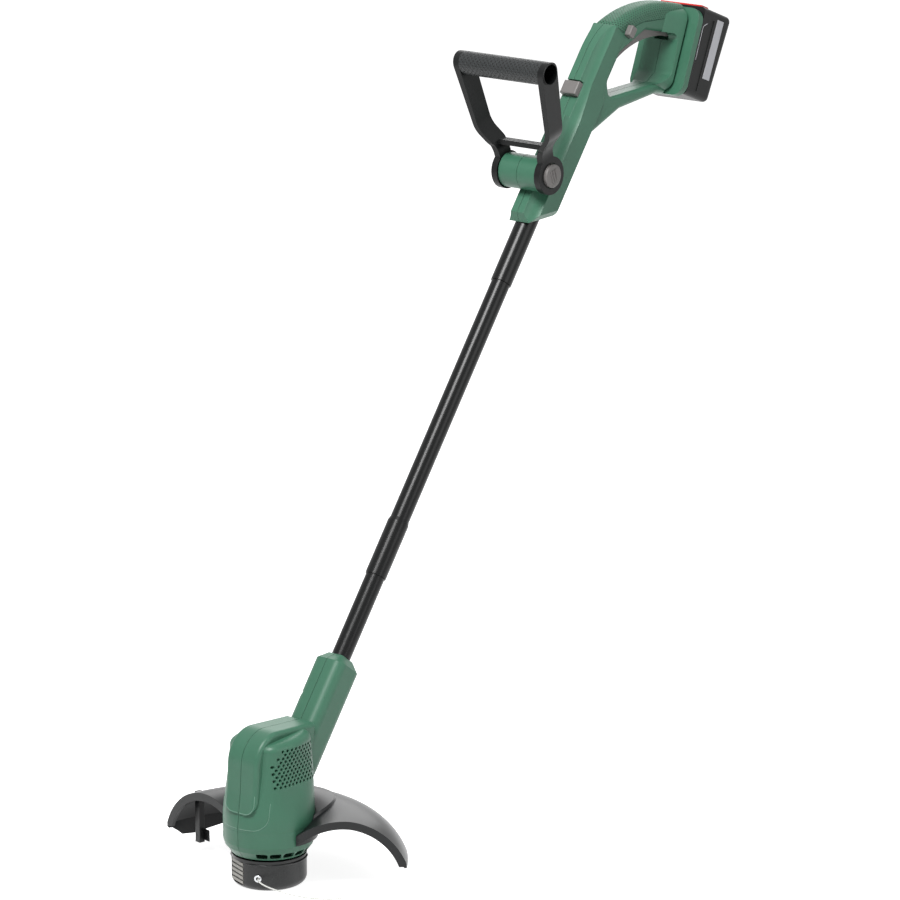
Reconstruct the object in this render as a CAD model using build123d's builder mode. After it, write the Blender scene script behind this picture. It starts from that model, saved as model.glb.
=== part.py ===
from build123d import *
import math
import os

# A cordless string trimmer with a leaning three-piece shaft, millimetres and degrees.
# The origin is the middle of the spool cap's underside, on the ground.
# +Z is up along the cutting head's axis and +X points back towards the user.

# Fits
FIT = 0.05  # radial room of a plugged or press-home joint
RUN = 0.1  # radial room of a running fit
GAP = 0.3  # room between pieces that move past each other
SEAM = 0.5  # open line between two half shells
WALL = 3.0  # moulded shell wall

# Shaft
LEAN = 36.3  # lean of the shaft from the vertical
SHAFT_FOOT_Z = 64.0  # height where the shaft axis crosses the head axis
TUBE_D = 22.0
TUBE_WALL = 1.2
LOWER_TUBE_START = 100.0  # distances along the shaft axis from its foot
SOCKET_START = 304.0
SOCKET_LENGTH = 66.0
SWAGE_LENGTH = 5.0
UPPER_TUBE_START = 673.0
HOUSING_START = 746.0
PLUG_DEPTH = 60.0  # how far a tube goes into the next one
UPPER_TUBE_SEAT = 110.0  # how far the upper tube goes into the handle housing

# Cutting head
CAP_R = 41.5
CAP_H = 35.0
CAP_WALL = 2.5
CAP_ROUND = 9.0
RIM_Z = 37.0  # underside of the head shells
HEAD_R = 51.0
LINE_D = 1.6
EYELET_Z = 16.0
EYELET_ANGLE = 205.0
EYELET_R = 4.2
LATCH_ANGLE = 160.0
LATCH_W = 27.0
LATCH_H = 26.0
MOTOR_R = 18.7
MOTOR_Z = 94.0
MOTOR_H = 57.0
SPINDLE_R = 3.0
FAN_R = 34.0
HUB_BOSS_R = 10.0
CABLE_DUCT_R = 6.0

# Guard
GUARD_CENTRE = (-25.0, -2.0, 0.0)  # the guard's arc is struck from in front of the head
GUARD_TILT = 3.4  # the guard rises towards the back
GUARD_R = 168.5
GUARD_WALL = 3.0
GUARD_RIM = 9.0  # depth of the stiffening wall at both ends
CUTTER_R = 123.0

# Handle housing, in the housing's own frame: back from the shaft axis, up along it
SPINE_FRONT = 23.0
SPINE_BACK = 22.0
SPINE_HALF = 21.0
LOOP_HALF = 17.0
LOOP_ROUND = 10.0
LOOP_FOOT_ROUND = 6.0
BARREL_N = -33.6
BARREL_T = 52.0
BARREL_R = 20.0
BARREL_HALF = 26.5
PAD_T = 2.5
TRIGGER_HALF = 10.0
SCREW_D = 3.0
SCREW_HEAD_D = 6.0
SCREW_HEAD_H = 2.4

# Front handle
HANDLE_REACH = 130.4  # barrel axis to grip axis
HANDLE_TILT = 17.9  # forward tilt from the vertical, as photographed
GRIP_D = 27.0
GRIP_BORE = 23.0
YOKE_RING_R = 22.0
LOCK_R = 13.5

# Battery
PACK_W = 76.0
PACK_DEPTH = 57.0
PACK_TILT = 21.0  # from the vertical


def direction(angle, radius=1.0):
    """A point in the ground plan, at an angle about the head axis."""
    a = math.radians(angle)
    return radius * math.cos(a), radius * math.sin(a)


SIN_L = math.sin(math.radians(LEAN))
COS_L = math.cos(math.radians(LEAN))
UP_SHAFT = Vector(SIN_L, 0, COS_L)
BACK = Vector(COS_L, 0, -SIN_L)
FOOT = Vector(0, 0, SHAFT_FOOT_Z)
SHAFT = Plane(origin=FOOT, x_dir=BACK, z_dir=UP_SHAFT)
HOUSE_FOOT = FOOT + UP_SHAFT * HOUSING_START
HOUSE = Plane(origin=HOUSE_FOOT, x_dir=BACK, z_dir=UP_SHAFT)
HOUSE_SIDE = Plane(origin=HOUSE_FOOT, x_dir=BACK, z_dir=(0, -1, 0))

os.makedirs("parts", exist_ok=True)


def save(piece, name):
    piece.label = name
    export_step(piece, f"parts/{name}.step")


# Head shells: outer form

# Cheek sections as height, front, back, half width and squareness (2 is an ellipse)
FOOT_TOP = 69.0  # where the round foot ends in a fine step
CHEEKS = [
    (FOOT_TOP, -50.4, 50.4, 50.4, 2.0),
    (84.0, -49.2, 50.0, 49.4, 2.1),
    (104.0, -43.5, 47.0, 43.6, 2.8),
    (130.0, -37.5, 44.0, 38.5, 3.8),
    (182.0, -32.0, 40.0, 35.0, 4.4),
]
SECTION_POINTS = 24
CHEEK_TOP = 168.5  # height of the cheeks' sloping top over the head axis
CHEEK_ROUND = 9.0
CROWN_SLOPE = 5.0
BAND_HALF = 22.5
BAND_ROUND = 5.0


def rounded_loop(front, back, half, squareness):
    """Points of a superellipse between a front and a back."""
    points = []
    for step in range(SECTION_POINTS):
        x, y = direction(360 * step / SECTION_POINTS)
        x = math.copysign(abs(x) ** (2 / squareness), x)
        y = math.copysign(abs(y) ** (2 / squareness), y)
        points.append(((front + back) / 2 + x * (back - front) / 2, y * half))
    return points


def cheek_loft(inset):
    with BuildPart() as cheeks:
        for height, front, back, half, squareness in CHEEKS:
            with BuildSketch(Plane.XY.offset(height)):
                with BuildLine():
                    Spline(rounded_loop(front + inset, back - inset, half - inset, squareness), periodic=True)
                make_face()
        loft()
        top = Plane.XY.offset(CHEEK_TOP - inset).rotated((0, -CROWN_SLOPE, 0))
        split(bisect_by=top, keep=Keep.BOTTOM)
        fillet(cheeks.faces().sort_by(Axis.Z)[-1].edges(), CHEEK_ROUND - inset)
    return cheeks.part


def foot_turning(inset):
    with BuildPart() as foot:
        with BuildSketch(Plane.XZ):
            with BuildLine():
                taper = Polyline(
                    (0, RIM_Z + inset), (CAP_R - inset, RIM_Z + inset),
                    (HEAD_R - 2.5 - inset, RIM_Z + 9), (HEAD_R - 0.7 - inset, RIM_Z + 15),
                )
                Polyline(taper @ 1, (HEAD_R - 0.45 - inset, FOOT_TOP), (0, FOOT_TOP), taper @ 0)
            make_face()
        revolve(axis=Axis.Z)
    return foot.part


def front_band():
    """The raised band over the front and top of the head, ending in a U above the foot."""
    with BuildPart() as band:
        with BuildSketch(Plane.XZ):
            with BuildLine():
                face = FilletPolyline((-50.5, 80), (-46, 112), (-41.5, 179.5), (52, 173.5), radius=[60, 36])
                Polyline(face @ 1, (40, 100), (-30, 80), face @ 0)
            make_face()
        extrude(amount=BAND_HALF, both=True)
        fillet(band.faces().filter_by(Axis.Y).edges().filter_by(lambda e: e.center().X < 45), BAND_ROUND)
        with BuildSketch(Plane.YZ.offset(-60)):
            with Locations((0, 150)):
                RectangleRounded(2 * BAND_HALF, 122, 15)
        extrude(amount=130, mode=Mode.INTERSECT)
    return band.part


# Neck, in the shaft's frame
NECK_START = 56.0
NECK_END = 204.0
NECK_FRONT = 21.0
NECK_HALF = 20.5
NECK_ROUND = 12.0
NECK_BEVEL = 10.0


def neck_bar():
    with BuildPart() as neck:
        with BuildSketch(SHAFT.offset(NECK_START)):
            RectangleRounded(2 * NECK_FRONT, 2 * NECK_HALF, NECK_ROUND)
        extrude(amount=NECK_END - NECK_START)
        chamfer(neck.faces().sort_by(Axis(FOOT, UP_SHAFT))[-1].edges(), NECK_BEVEL)
    return neck.part


# Screws that close a pair of shells, driven in from the right side
SCREW_SEAT = 16.0
NECK_SCREW_SEAT = 10.0
SCREW_LENGTH = 26.0
HEAD_SCREWS = [(-33.0, 101.0), (-38.0, 58.0), (38.0, 58.0)]
NECK_SCREWS = [(-16.0, 150.0), (16.0, 182.0)]


def on_shaft(back, up):
    """A point of the middle plane from its place beside and along the shaft axis."""
    point = FOOT + BACK * back + UP_SHAFT * up
    return point.X, point.Z


def screws(places, seat, length):
    with BuildPart() as group:
        for x, z in places:
            with BuildSketch(Plane(origin=(x, seat, z), z_dir=(0, 1, 0))):
                Circle(SCREW_HEAD_D / 2)
            extrude(amount=SCREW_HEAD_H)
            with BuildSketch(Plane(origin=(x, seat, z), z_dir=(0, 1, 0))):
                Circle(SCREW_D / 2)
            extrude(amount=-length)
    return group.part


def screw_holes(places, seat, length):
    with BuildPart() as group:
        for x, z in places:
            with BuildSketch(Plane(origin=(x, seat, z), z_dir=(0, 1, 0))):
                Circle(SCREW_HEAD_D / 2 + GAP)
            extrude(amount=60)
            with BuildSketch(Plane(origin=(x, seat, z), z_dir=(0, 1, 0))):
                Circle(SCREW_D / 2 + FIT)
            extrude(amount=-length - 1)
    return group.part


MOTOR_WEBS = [MOTOR_Z - WALL / 2, MOTOR_Z + MOTOR_H - 10]
VENT_D = 3.3
VENT_PITCH = 5.9
VENT_ROWS = 11
VENT_ROW_PITCH = 3.9
VENT_COLUMNS = 11
VENT_RISE = 7.0  # tilt of the vent rows
VENT_START = (-29.0, 120.0)  # lowest row, front end
SLOT_ANGLES = [212, 231, 250, 269, 288, 72, 91, 110, 129, 148]
SLOT_R = 45.0
SLOT_Z = RIM_Z + 5.6
SLOT_SIZE = (14.0, 12.5, 6.0)  # through the wall, round the foot and up
SLOT_ROUND = 2.0


def head_room():
    """The hollow of the head, broken by the webs that carry the motor and by screw bosses."""
    with BuildPart() as room:
        add(cheek_loft(WALL))
        add(foot_turning(WALL))
        for z in MOTOR_WEBS:
            with Locations((0, 0, z)):
                Box(120, 120, WALL, mode=Mode.SUBTRACT)
        for x, z in HEAD_SCREWS:
            with Locations(Location((x, 0, z), (90, 0, 0))):
                Cylinder(4, 120, mode=Mode.SUBTRACT)
    return room.part


def vent_holes():
    """Staggered round vents through the left cheek, cut short where the cheek curves in."""
    with BuildPart() as vents:
        with BuildSketch(Plane.XZ.offset(25).rotated((0, 0, VENT_RISE))):
            for row in range(VENT_ROWS):
                shift = VENT_PITCH / 2 * (row % 2)
                first = max(0, (row - 5) // 2)
                up = VENT_START[1] + row * VENT_ROW_PITCH
                for column in range(first, VENT_COLUMNS - row % 2):
                    with Locations((VENT_START[0] + shift + column * VENT_PITCH, up)):
                        Circle(VENT_D / 2)
        extrude(amount=40)
    return vents.part


def foot_slots():
    with BuildPart() as slots:
        for angle in SLOT_ANGLES:
            x, y = direction(angle, SLOT_R)
            with Locations(Location((x, y, SLOT_Z), (0, 0, angle))):
                Box(*SLOT_SIZE)
        fillet(slots.edges().filter_by(lambda e: abs(e.length - SLOT_SIZE[0]) < 0.01), SLOT_ROUND)
    return slots.part


def radial_plane(angle, radius, height):
    """A plane facing outwards from the head axis."""
    x, y = direction(angle, radius)
    return Plane(origin=(x, y, height), x_dir=(0, 0, 1), z_dir=(x, y, 0))


GUARD_IN_R = HEAD_R + GAP
GUARD_SCREW_ANGLES = [-30.0, 30.0]
GUARD_SCREW_Z = 59.0
GUARD_SCREW_LENGTH = 10.0


def guard_screw_holes():
    with BuildPart() as holes:
        for angle in GUARD_SCREW_ANGLES:
            with BuildSketch(radial_plane(angle, HEAD_R - GUARD_SCREW_LENGTH, GUARD_SCREW_Z)):
                Circle(SCREW_D / 2 + FIT)
            extrude(amount=GUARD_SCREW_LENGTH + GUARD_WALL + 1)
    return holes.part


neck_screw_places = [on_shaft(n, s) for n, s in NECK_SCREWS]

with BuildPart() as head:
    add(cheek_loft(0))
    add(foot_turning(0))
    add(front_band())
    add(neck_bar())
    add(head_room(), mode=Mode.SUBTRACT)
    with BuildSketch(Plane.XY.offset(MOTOR_Z)):
        Circle(MOTOR_R + FIT)
    extrude(amount=MOTOR_H + 8, mode=Mode.SUBTRACT)
    with BuildSketch(Plane.XY.offset(RIM_Z - 1)):
        Circle(HUB_BOSS_R + 2)
    extrude(amount=MOTOR_Z - RIM_Z + 2, mode=Mode.SUBTRACT)
    with BuildSketch(SHAFT.offset(LOWER_TUBE_START)):
        Circle(TUBE_D / 2 + FIT)
    extrude(amount=NECK_END, mode=Mode.SUBTRACT)
    with BuildSketch(SHAFT.offset(NECK_START - 25)):
        Circle(CABLE_DUCT_R)
    extrude(amount=NECK_END, mode=Mode.SUBTRACT)
    add(foot_slots(), mode=Mode.SUBTRACT)
    split(bisect_by=Plane.XZ.offset(SEAM / 2), keep=Keep.TOP)
    add(vent_holes(), mode=Mode.SUBTRACT)

with BuildPart() as head_holes:
    add(screw_holes(HEAD_SCREWS, SCREW_SEAT, SCREW_LENGTH))
    add(screw_holes(neck_screw_places, NECK_SCREW_SEAT, SCREW_LENGTH))

with BuildPart() as head_left:
    add(head.part)
    add(head_holes.part, mode=Mode.SUBTRACT)
    add(guard_screw_holes(), mode=Mode.SUBTRACT)
save(head_left.part, "head_shell_left")

with BuildPart() as head_right:
    add(mirror(head.part, about=Plane.XZ, mode=Mode.PRIVATE))
    add(head_holes.part, mode=Mode.SUBTRACT)
    add(guard_screw_holes(), mode=Mode.SUBTRACT)
save(head_right.part, "head_shell_right")

with BuildPart() as head_screws:
    add(screws(HEAD_SCREWS, SCREW_SEAT, SCREW_LENGTH))
    add(screws(neck_screw_places, NECK_SCREW_SEAT, SCREW_LENGTH))
save(head_screws.part, "head_screws")

# Motor, fan and drive
MOTOR_BOSS_R = 6.5
END_CAP_H = 6.0
FAN_Z = 74.0
FAN_H = 12.0
FAN_BLADES = 9
HUB_TOP = RIM_Z + 8
HUB_PLATE_Z = CAP_H - 3.4

with BuildPart() as motor_can:
    with BuildSketch(Plane.XY.offset(MOTOR_Z)):
        Circle(MOTOR_R)
    extrude(amount=MOTOR_H)
    fillet(motor_can.edges().sort_by(Axis.Z)[0], 2)
    with BuildSketch(Plane.XY.offset(MOTOR_Z)):
        Circle(MOTOR_BOSS_R)
    extrude(amount=-WALL)
    with BuildSketch(Plane.XY.offset(MOTOR_Z - WALL)):
        Circle(SPINDLE_R + RUN)
    extrude(amount=MOTOR_H + WALL, mode=Mode.SUBTRACT)
save(motor_can.part, "motor_can")

with BuildPart() as motor_end_cap:
    with BuildSketch(Plane.XY.offset(MOTOR_Z + MOTOR_H)):
        Circle(MOTOR_R - 1.5)
    extrude(amount=END_CAP_H)
    chamfer(motor_end_cap.edges().sort_by(Axis.Z)[-1], 1.5)
    with BuildSketch(Plane.XY.offset(MOTOR_Z + MOTOR_H + END_CAP_H)):
        with Locations((-9, 0), (9, 0)):
            Rectangle(0.8, 5)
    extrude(amount=3)
save(motor_end_cap.part, "motor_end_cap")

SPINDLE_Z = HUB_PLATE_Z - 4

with BuildPart() as motor_shaft:
    with BuildSketch(Plane.XY.offset(SPINDLE_Z)):
        Circle(SPINDLE_R)
    extrude(amount=MOTOR_Z + MOTOR_H - 1 - SPINDLE_Z)
    chamfer(motor_shaft.edges().filter_by(GeomType.CIRCLE), 0.5)
save(motor_shaft.part, "motor_shaft")

with BuildPart() as fan:
    with BuildSketch(Plane.XY.offset(FAN_Z)):
        Circle(8)
    extrude(amount=FAN_H)
    with BuildSketch(Plane.XY.offset(FAN_Z + FAN_H - 2)):
        Circle(FAN_R)
    extrude(amount=2)
    for blade in range(FAN_BLADES):
        turn = 360 * blade / FAN_BLADES
        x, y = direction(turn, (FAN_R + 7) / 2)
        with Locations(Location((x, y, FAN_Z + FAN_H / 2), (0, 0, turn + 12))):
            Box(FAN_R - 9, 1.6, FAN_H - 1)
    with BuildSketch(Plane.XY.offset(FAN_Z)):
        Circle(SPINDLE_R + FIT)
    extrude(amount=FAN_H, mode=Mode.SUBTRACT)
save(fan.part, "fan")

with BuildPart() as drive_hub:
    with BuildSketch(Plane.XY.offset(HUB_PLATE_Z)):
        Circle(CAP_R - CAP_WALL - GAP)
    extrude(amount=CAP_H - HUB_PLATE_Z)
    with BuildSketch(Plane.XY.offset(SPINDLE_Z)):
        Circle(HUB_BOSS_R)
    extrude(amount=HUB_TOP - SPINDLE_Z)
    with BuildSketch(Plane.XY.offset(SPINDLE_Z)):
        Circle(SPINDLE_R + FIT)
    extrude(amount=HUB_TOP - SPINDLE_Z, mode=Mode.SUBTRACT)
save(drive_hub.part, "drive_hub")

# Spool cap with its latches, eyelet, spool and line
LATCH_FACE = 38.6  # flat face of a latch from the axis
LATCH_T = 5.0
LATCH_Z = 5.0
LATCH_RIBS = 5
RIB_H = 0.9
POST_R = 8.0
SPOOL_R = 29.5
SPOOL_CORE_R = 16.0
SPOOL_Z = CAP_WALL + 1.5
SPOOL_H = 19.0
FLANGE_T = 1.8


def latch_plane(angle, depth=0.0):
    return radial_plane(angle, LATCH_FACE - depth, LATCH_Z + LATCH_H / 2)


with BuildPart() as cap_hollow:
    with BuildSketch(Plane.XY.offset(CAP_WALL)):
        Circle(CAP_R - CAP_WALL)
    extrude(amount=CAP_H)
    fillet(cap_hollow.edges().sort_by(Axis.Z)[0], CAP_ROUND - CAP_WALL / 2)

with BuildPart() as spool_cap:
    with BuildSketch(Plane.XY):
        Circle(CAP_R)
    extrude(amount=CAP_H)
    fillet(spool_cap.edges().sort_by(Axis.Z)[0], CAP_ROUND)
    add(cap_hollow.part, mode=Mode.SUBTRACT)
    with BuildSketch(Plane.XY):
        Circle(POST_R)
    extrude(amount=SPINDLE_Z - GAP)
    for angle in (LATCH_ANGLE, LATCH_ANGLE + 180):
        with BuildSketch(latch_plane(angle, LATCH_T + 4)):
            Rectangle(LATCH_H + 2 * GAP, LATCH_W + 2 * GAP)
        extrude(amount=20, mode=Mode.SUBTRACT)
    with BuildSketch(radial_plane(EYELET_ANGLE, 20, EYELET_Z)):
        Circle(EYELET_R - 1.6 + FIT)
    extrude(amount=30, mode=Mode.SUBTRACT)
save(spool_cap.part, "spool_cap")


def cap_latch(angle):
    """A flat press tab with level ribs, in its window in the cap's wall."""
    with BuildPart() as latch:
        with BuildSketch(latch_plane(angle, LATCH_T)):
            Rectangle(LATCH_H, LATCH_W)
        extrude(amount=LATCH_T)
        with BuildSketch(latch_plane(angle)):
            with GridLocations(LATCH_H / LATCH_RIBS, 0, LATCH_RIBS, 1):
                Rectangle(LATCH_H / LATCH_RIBS * 0.6, LATCH_W - 2)
        extrude(amount=RIB_H)
    return latch.part


save(cap_latch(LATCH_ANGLE), "cap_latch_front")
save(cap_latch(LATCH_ANGLE + 180), "cap_latch_back")

with BuildPart() as line_eyelet:
    with BuildSketch(radial_plane(EYELET_ANGLE, CAP_R + FIT, EYELET_Z)):
        Circle(EYELET_R)
    extrude(amount=1.8)
    fillet(line_eyelet.edges().filter_by(GeomType.CIRCLE), 0.6)
    with BuildSketch(radial_plane(EYELET_ANGLE, CAP_R - CAP_WALL - 1, EYELET_Z)):
        Circle(EYELET_R - 1.6)
    extrude(amount=CAP_WALL + 2)
    with BuildSketch(radial_plane(EYELET_ANGLE, CAP_R - CAP_WALL - 2, EYELET_Z)):
        Circle(LINE_D / 2 + GAP)
    extrude(amount=CAP_WALL + 6, mode=Mode.SUBTRACT)
save(line_eyelet.part, "line_eyelet")

with BuildPart() as spool:
    with BuildSketch(Plane.XY.offset(SPOOL_Z)):
        Circle(SPOOL_CORE_R)
    extrude(amount=SPOOL_H)
    for z in (SPOOL_Z, SPOOL_Z + SPOOL_H - FLANGE_T):
        with BuildSketch(Plane.XY.offset(z)):
            Circle(SPOOL_R)
        extrude(amount=FLANGE_T)
    with BuildSketch(Plane.XY.offset(SPOOL_Z)):
        Circle(POST_R + RUN)
    extrude(amount=SPOOL_H, mode=Mode.SUBTRACT)
save(spool.part, "spool")

with BuildPart() as line_winding:
    with BuildSketch(Plane.XY.offset(SPOOL_Z + FLANGE_T)):
        Circle(SPOOL_R - 3)
        Circle(SPOOL_CORE_R, mode=Mode.SUBTRACT)
    extrude(amount=SPOOL_H - 2 * FLANGE_T)
save(line_winding.part, "line_winding")

with BuildPart() as spool_spring:
    with BuildSketch(Plane.XY.offset(SPOOL_Z + SPOOL_H)):
        Circle(HUB_BOSS_R + 4)
        Circle(HUB_BOSS_R + 2.5, mode=Mode.SUBTRACT)
    extrude(amount=HUB_PLATE_Z - SPOOL_Z - SPOOL_H)
save(spool_spring.part, "spool_spring")

# The line runs straight out of the eyelet and then bends back as it lies
LINE_ROUTE = [
    (*direction(EYELET_ANGLE, CAP_R - CAP_WALL - 2), EYELET_Z),
    (*direction(EYELET_ANGLE, CAP_R + 5), EYELET_Z),
    (-47.5, -33.0, 14.6),
    (-46.5, -51.0, 12.2),
    (-40.5, -70.0, 9.2),
    (-29.0, -88.0, 6.4),
    (-14.0, -101.0, 4.4),
    (-2.0, -107.0, 3.4),
]


def bend_radii(route):
    """The widest arc that fits each corner of a route."""
    points = [Vector(*p) for p in route]
    radii = []
    for before, corner, after in zip(points, points[1:], points[2:]):
        turn = math.radians((corner - before).get_angle(after - corner))
        shorter = min((corner - before).length, (after - corner).length)
        radii.append(0.45 * shorter / math.tan(turn / 2))
    return radii


line_radii = bend_radii(LINE_ROUTE)
print("cutting line radii", [round(r, 1) for r in line_radii])

with BuildPart() as cutting_line:
    with BuildLine() as route:
        FilletPolyline(LINE_ROUTE, radius=line_radii)
    with BuildSketch(Plane(origin=route.wire() @ 0, z_dir=route.wire() % 0)):
        Circle(LINE_D / 2)
    sweep()
print("cutting line length", route.wire().length, "volume", cutting_line.part.volume)
print("section times length", math.pi * LINE_D**2 / 4 * route.wire().length)
save(cutting_line.part, "cutting_line")

# Guard: an arched shell turned about its own axis, cut to its plan
GUARD_START_R = 50.0
GUARD_INNER = (52.2, 64.4)  # distance along and height above the guard's own plane
GUARD_CREST = (118.6, 75.7)
GUARD_TIP = (GUARD_R, 28.6)
GUARD_LOW = 25.0  # the arch and its rims end above this height
GUARD_FRONT_NEAR = [(-12.0, -45.0), (-10.7, -57.3), (26.4, -95.5), (64.6, -144.7), (82.0, -167.0)]
GUARD_FRONT_FAR = [(12.0, 176.0), (8.4, 153.9), (-6.3, 62.5), (-12.0, 45.0)]
SKIRT_EDGE = [(180, 34), (158.5, 24), (155, 14), (150, 13), (133, 20.5), (80, 26), (-70, 27), (-180, 30)]
PLATEAU_H = 3.0
PLATEAU_AT = 40.0
PLATEAU_R = 56.0
GUARD_COLLAR_Z = 54.0
COLLAR_DEPTH = 30.0
CUTTER_ANGLE = 79.5
CUTTER_Z = 12.5
CUTTER_TOP = 71.5
CUTTER_RIB_T = 7.0
CUTTER_RIB_W = 8.0
CUTTER_SCREW_Z = 21.0
BLADE_IN_R = 115.0
BLADE_T = 1.0
BLADE_H = 13.0


def cutter_face(offset_by):
    """A plane through the cutter's rib: sketch outwards and up, facing round the guard."""
    outward = Vector(*direction(CUTTER_ANGLE))
    facing = Vector(*direction(CUTTER_ANGLE - 90))
    return Plane(origin=facing * offset_by, x_dir=outward, z_dir=facing)


SIN_G = math.sin(math.radians(GUARD_TILT))
COS_G = math.cos(math.radians(GUARD_TILT))
GUARD_SECTION = Plane(origin=GUARD_CENTRE, x_dir=(COS_G, 0, SIN_G), z_dir=(0, -1, 0))
GUARD_AXIS = Axis(GUARD_CENTRE, (-SIN_G, 0, COS_G))
guard_arc = ThreePointArc(GUARD_INNER, GUARD_CREST, GUARD_TIP)


def guard_arch(above, below):
    """The arch turned about the guard's axis, between two depths measured from its top."""
    with BuildPart() as arch:
        with BuildSketch(GUARD_SECTION):
            with Locations((guard_arc.arc_center.X, guard_arc.arc_center.Y)):
                Circle(guard_arc.radius + above)
                Circle(guard_arc.radius - below, mode=Mode.SUBTRACT)
            with Locations(((GUARD_START_R + GUARD_R) / 2, GUARD_LOW + 50)):
                Rectangle(GUARD_R - GUARD_START_R, 100, mode=Mode.INTERSECT)
        revolve(axis=GUARD_AXIS)
    return arch.part


def guard_skirt():
    """The wall hanging from the arch's outer edge, lowest at the far end."""
    with BuildPart() as skirt:
        with BuildSketch(GUARD_SECTION):
            with Locations((GUARD_R - GUARD_WALL / 2, 0)):
                Rectangle(GUARD_WALL, 2 * GUARD_TIP[1] - 2)
        revolve(axis=GUARD_AXIS)
        with BuildSketch(Plane.YZ.offset(-2 * GUARD_R)):
            with BuildLine():
                Polyline(*SKIRT_EDGE, (-GUARD_R, 60), (GUARD_R, 60), close=True)
            make_face()
        extrude(amount=4 * GUARD_R, mode=Mode.INTERSECT)
    return skirt.part


def guard_plan(shift):
    with BuildPart() as plan:
        with BuildSketch(Plane.XY):
            with BuildLine():
                Polyline(
                    *[(x + shift, y) for x, y in GUARD_FRONT_NEAR],
                    (GUARD_R, -GUARD_R), (GUARD_R, GUARD_R),
                    *[(x + shift, y) for x, y in GUARD_FRONT_FAR], close=True,
                )
            make_face()
        extrude(amount=120)
    return plan.part


with BuildPart() as guard_rims:
    add(guard_arch(0, GUARD_RIM))
    add(guard_plan(GUARD_WALL + 1), mode=Mode.SUBTRACT)

with BuildPart() as plateau:
    add(guard_arch(PLATEAU_H, 1))
    with BuildSketch(Plane.XY.offset(40)):
        with Locations((PLATEAU_AT, 0)):
            Circle(PLATEAU_R + 12)
    extrude(amount=60, taper=25, mode=Mode.INTERSECT)

with BuildPart() as guard_collar:
    add(guard_arch(0, COLLAR_DEPTH))
    with BuildSketch(Plane.XY.offset(GUARD_COLLAR_Z)):
        Circle(GUARD_IN_R + GUARD_WALL)
    extrude(amount=60, mode=Mode.INTERSECT)

with BuildPart() as guard:
    add(guard_arch(0, GUARD_WALL))
    add(guard_rims.part)
    add(plateau.part)
    add(guard_skirt())
    add(guard_collar.part)
    with BuildSketch(Plane.XY.offset(40)):
        Circle(GUARD_IN_R)
    extrude(amount=60, mode=Mode.SUBTRACT)
    add(guard_plan(0), mode=Mode.INTERSECT)
    with BuildSketch(cutter_face(-CUTTER_RIB_T / 2)):
        with Locations((CUTTER_R + CUTTER_RIB_W / 2, (CUTTER_Z + CUTTER_TOP) / 2)):
            Rectangle(CUTTER_RIB_W, CUTTER_TOP - CUTTER_Z)
    extrude(amount=CUTTER_RIB_T)
    with BuildSketch(cutter_face(-20)):
        with Locations((CUTTER_R + CUTTER_RIB_W / 2, CUTTER_SCREW_Z)):
            Circle(SCREW_D / 2 + FIT)
    extrude(amount=40, mode=Mode.SUBTRACT)
    add(guard_screw_holes(), mode=Mode.SUBTRACT)
save(guard.part, "guard")

with BuildPart() as line_cutter:
    with BuildSketch(cutter_face(CUTTER_RIB_T / 2)):
        with Locations(((BLADE_IN_R + CUTTER_R + CUTTER_RIB_W) / 2, CUTTER_SCREW_Z)):
            Rectangle(CUTTER_R + CUTTER_RIB_W - BLADE_IN_R, BLADE_H)
        with Locations((CUTTER_R + CUTTER_RIB_W / 2, CUTTER_SCREW_Z)):
            Circle(SCREW_D / 2 + FIT, mode=Mode.SUBTRACT)
    extrude(amount=BLADE_T)
save(line_cutter.part, "line_cutter")

with BuildPart() as cutter_screw:
    with BuildSketch(cutter_face(CUTTER_RIB_T / 2 + BLADE_T)):
        with Locations((CUTTER_R + CUTTER_RIB_W / 2, CUTTER_SCREW_Z)):
            Circle(SCREW_HEAD_D / 2)
    extrude(amount=SCREW_HEAD_H)
    with BuildSketch(cutter_face(CUTTER_RIB_T / 2 + BLADE_T)):
        with Locations((CUTTER_R + CUTTER_RIB_W / 2, CUTTER_SCREW_Z)):
            Circle(SCREW_D / 2)
    extrude(amount=-CUTTER_RIB_T - BLADE_T)
save(cutter_screw.part, "cutter_screw")

with BuildPart() as guard_screws:
    for angle in GUARD_SCREW_ANGLES:
        with BuildSketch(radial_plane(angle, GUARD_IN_R + GUARD_WALL, GUARD_SCREW_Z)):
            Circle(SCREW_HEAD_D / 2)
        extrude(amount=SCREW_HEAD_H)
        with BuildSketch(radial_plane(angle, GUARD_IN_R + GUARD_WALL, GUARD_SCREW_Z)):
            Circle(SCREW_D / 2)
        extrude(amount=-GUARD_SCREW_LENGTH)
save(guard_screws.part, "guard_screws")

# Shaft tubes, turned about the shaft axis
SHAFT_SIDE = Plane(origin=FOOT, x_dir=BACK, z_dir=(0, -1, 0))
TUBE_R = TUBE_D / 2
SOCKET_R = TUBE_R + FIT  # bore of a socket
MIDDLE_TUBE_END = UPPER_TUBE_START + PLUG_DEPTH
LOWER_TUBE_END = SOCKET_START + SOCKET_LENGTH - 4


def turned_tube(outline):
    with BuildPart() as tube:
        with BuildSketch(SHAFT_SIDE):
            with BuildLine():
                Polyline(*outline, close=True)
            make_face()
        revolve(axis=Axis(FOOT, UP_SHAFT))
    return tube.part


def plain_tube(inner, outer, start, end):
    return turned_tube([(inner, start), (outer, start), (outer, end), (inner, end)])


save(plain_tube(TUBE_R - TUBE_WALL, TUBE_R, LOWER_TUBE_START, LOWER_TUBE_END), "lower_tube")

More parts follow.
